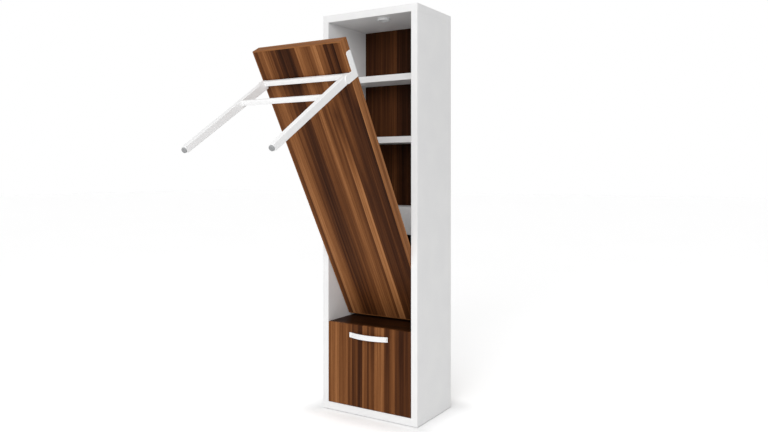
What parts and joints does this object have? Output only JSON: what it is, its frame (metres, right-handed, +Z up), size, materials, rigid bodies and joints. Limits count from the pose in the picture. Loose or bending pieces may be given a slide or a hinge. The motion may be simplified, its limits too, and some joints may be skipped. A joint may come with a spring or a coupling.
{
  "type": "fold-down wall table cabinet",
  "caption": "Tall bookcase cabinet with a walnut table panel that folds out of it on a low pivot, a folding leg frame under the panel, shelves behind it and a drawer below.",
  "frame": {"origin": "centre of the cabinet's footprint, on the floor", "axes": "+X right as seen from the front, -Y out of the cabinet's open front, +Y to the wall, +Z up"},
  "size_m": [0.62, 1.4966, 2.29],
  "materials": {
    "white_lacquer": "satin",
    "walnut": "satin",
    "dark_walnut": "satin",
    "raw_wood": "matte",
    "white_steel": "satin",
    "bare_steel": "satin",
    "grey_plastic": "matte",
    "nylon": "matte",
    "rubber": "matte",
    "light_board": "matte",
    "light_lens": "matte"
  },
  "bodies": {
    "cabinet": {"side_board_left": "white_lacquer", "side_board_right": "white_lacquer", "top_board": "white_lacquer", "bottom_board": "white_lacquer", "back_panel": "dark_walnut", "compartment_top": "walnut", "shelf_lower": "white_lacquer", "shelf_middle": "white_lacquer", "shelf_upper": "white_lacquer", "shelf_rail": "white_lacquer", "shelf_dowels": "raw_wood", "top_screws": "bare_steel", "floor_glides": "grey_plastic", "wall_brackets": "bare_steel", "wall_bracket_screws": "bare_steel", "closing_stops": "rubber", "pivot_bush_left": "nylon", "pivot_bush_right": "nylon", "light_housing": "white_steel", "light_board": "light_board", "light_bezel": "bare_steel", "light_lens": "light_lens", "slide_outer_left": "bare_steel", "slide_outer_right": "bare_steel"},
    "slide_middles": {"slide_middle_left": "bare_steel", "slide_middle_right": "bare_steel"},
    "drawer": {"drawer_front": "walnut", "drawer_side_left": "white_lacquer", "drawer_side_right": "white_lacquer", "drawer_back": "white_lacquer", "drawer_bottom": "white_lacquer", "drawer_handle": "white_steel", "handle_screws": "bare_steel", "slide_inner_left": "bare_steel", "slide_inner_right": "bare_steel"},
    "table": {"table_core_frame": "raw_wood", "table_top_skin": "walnut", "table_under_skin": "walnut", "table_edge_left": "walnut", "table_edge_right": "walnut", "table_edge_outer": "walnut", "table_edge_inner": "walnut", "pivot_housing_left": "bare_steel", "pivot_housing_right": "bare_steel", "pivot_pin_left": "bare_steel", "pivot_pin_right": "bare_steel", "friction_washers": "rubber", "leg_bracket_left": "white_steel", "leg_bracket_right": "white_steel", "leg_bracket_screws": "white_steel", "leg_stop_pads": "rubber"},
    "leg_frame": {"leg_left": "white_steel", "leg_right": "white_steel", "leg_crossbar_upper": "white_steel", "leg_crossbar_lower": "white_steel", "leg_pin_left": "white_steel", "leg_pin_right": "white_steel", "foot_glides": "grey_plastic"}
  },
  "joints": [
    {"name": "table_fold", "type": "hinge", "parent": "cabinet", "child": "table", "pos_m": [0, -0.0585, 0.675], "axis": [1, 0, 0], "range_deg": [-30.4, 59.6]},
    {"name": "leg_fold", "type": "hinge", "parent": "table", "child": "leg_frame", "pos_m": [0, -0.77634, 1.78194], "axis": [1, 0, 0], "range_deg": [0, 87]},
    {"name": "drawer_slide", "type": "slide", "parent": "cabinet", "child": "drawer", "axis": [0, -1, 0], "range_m": [0, 0.28]},
    {"name": "slide_middle_travel", "type": "slide", "parent": "cabinet", "child": "slide_middles", "axis": [0, -1, 0], "range_m": [0, 0.14]}
  ],
  "couplings": [
    {"joint": "slide_middle_travel", "follows": "drawer_slide", "ratio": 0.5}
  ]
}
